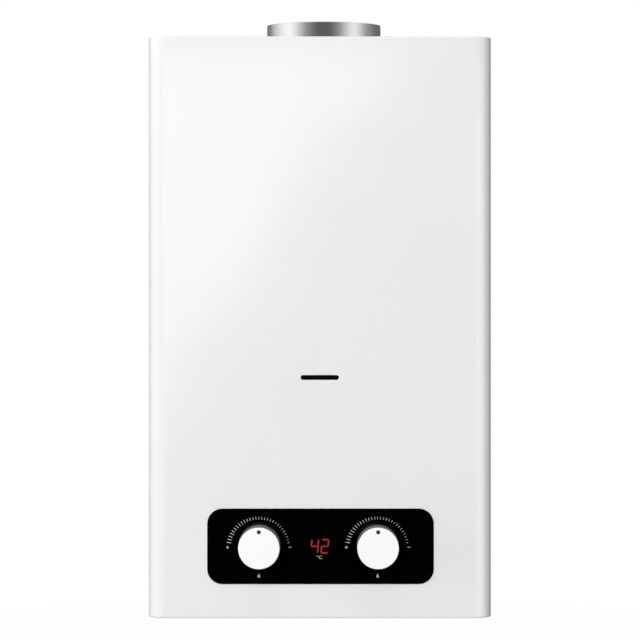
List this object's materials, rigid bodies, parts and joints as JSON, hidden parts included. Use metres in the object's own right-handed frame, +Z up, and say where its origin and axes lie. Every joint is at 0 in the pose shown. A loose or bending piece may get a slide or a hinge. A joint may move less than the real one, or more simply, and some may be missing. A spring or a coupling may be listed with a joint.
{
  "type": "wall-hung gas water heater",
  "caption": "Wall-hung instantaneous gas water heater with a flue collar, viewing slot, black control panel with gas and water dials, and a full burner, exchanger and valve set inside.",
  "frame": {"origin": "on the wall face of the back plate, in the middle of the case's lower edge", "axes": "+X to the heater's right as seen from the front, the front faces -Y, +Z up"},
  "size_m": [0.3336, 0.1977, 0.5893],
  "materials": {
    "black_fascia": "high gloss",
    "black_plastic": "moulded",
    "brass": "cast and machined",
    "cell_jacket": "printed sleeve",
    "ceramic_white": "glazed",
    "circuit_green": "solder mask",
    "copper": "tinned copper",
    "dark_glass": "polished",
    "galvanised_steel": "galvanised",
    "grey_plastic": "moulded",
    "knob_grey": "satin",
    "knob_white": "gloss",
    "led_black": "moulded",
    "nickel": "plated",
    "rubber_black": "moulded",
    "seal_fibre": "fibre",
    "stainless_steel": "bright brushed",
    "steel": "plated",
    "valve_aluminium": "die cast",
    "white_enamel": "satin powder coat"
  },
  "bodies": {
    "heater": {"back_plate": "galvanised_steel", "battery_box": "black_plastic", "battery_cells": "cell_jacket", "battery_contacts": "nickel", "bottom_panel": "galvanised_steel", "burner_blades": "stainless_steel", "burner_frame": "galvanised_steel", "coil_riser": "copper", "cold_pipe": "copper", "control_panel": "black_fascia", "controller_box": "grey_plastic", "cover_screws": "steel", "diaphragm": "rubber_black", "diaphragm_cover": "brass", "display_board": "circuit_green", "display_module": "led_black", "draught_hood": "galvanised_steel", "electrode_bracket": "steel", "engine_brackets": "galvanised_steel", "exchanger_fins": "copper", "exchanger_shell": "copper", "exchanger_tubes": "copper", "flue_collar": "stainless_steel", "front_cover": "white_enamel", "gas_injectors": "brass", "gas_manifold": "valve_aluminium", "gas_valve_body": "valve_aluminium", "hood_baffle": "galvanised_steel", "hot_pipe": "copper", "ignition_electrodes": "ceramic_white", "inlet_filter": "stainless_steel", "lid_pin": "steel", "microswitch": "black_plastic", "panel_carrier": "black_plastic", "pipe_elbows": "brass", "pipe_seals": "seal_fibre", "pipe_stubs": "brass", "return_caps": "copper", "solenoid_valve": "black_plastic", "switch_bracket": "steel", "thermal_switches": "black_plastic", "top_panel": "white_enamel", "view_window": "dark_glass", "water_valve_body": "brass", "window_frame": "galvanised_steel", "wrap_coil": "copper"},
    "gas_dial": {"gas_knob": "knob_grey", "gas_knob_cap": "knob_white", "gas_spindle": "brass"},
    "water_dial": {"water_knob": "knob_grey", "water_knob_cap": "knob_white", "water_spindle": "brass"},
    "linkage": {"linkage_rod": "stainless_steel", "gas_poppet": "rubber_black"},
    "battery_door": {"battery_lid": "black_plastic", "lid_contact": "nickel"},
    "drain": {"drain_cock": "black_plastic"}
  },
  "joints": [
    {"name": "gas_knob_turn", "type": "hinge", "parent": "heater", "child": "gas_dial", "pos_m": [-0.0578, -0.165, 0.0699], "axis": [0, -1, 0], "range_deg": [-90, 90]},
    {"name": "water_knob_turn", "type": "hinge", "parent": "heater", "child": "water_dial", "pos_m": [0.0554, -0.165, 0.0699], "axis": [0, -1, 0], "range_deg": [-90, 90]},
    {"name": "linkage_slide", "type": "slide", "parent": "heater", "child": "linkage", "axis": [-1, 0, 0], "range_m": [0, 0.004], "stiffness_N_per_m": 400, "springref_m": -0.005},
    {"name": "battery_door_swing", "type": "hinge", "parent": "heater", "child": "battery_door", "pos_m": [0.11825, -0.106, 0.0172], "axis": [1, 0, 0], "range_deg": [0, 95]},
    {"name": "drain_turn", "type": "hinge", "parent": "heater", "child": "drain", "pos_m": [0.066, -0.104, 0.007], "axis": [0, 0, 1], "range_deg": [0, 90]}
  ]
}
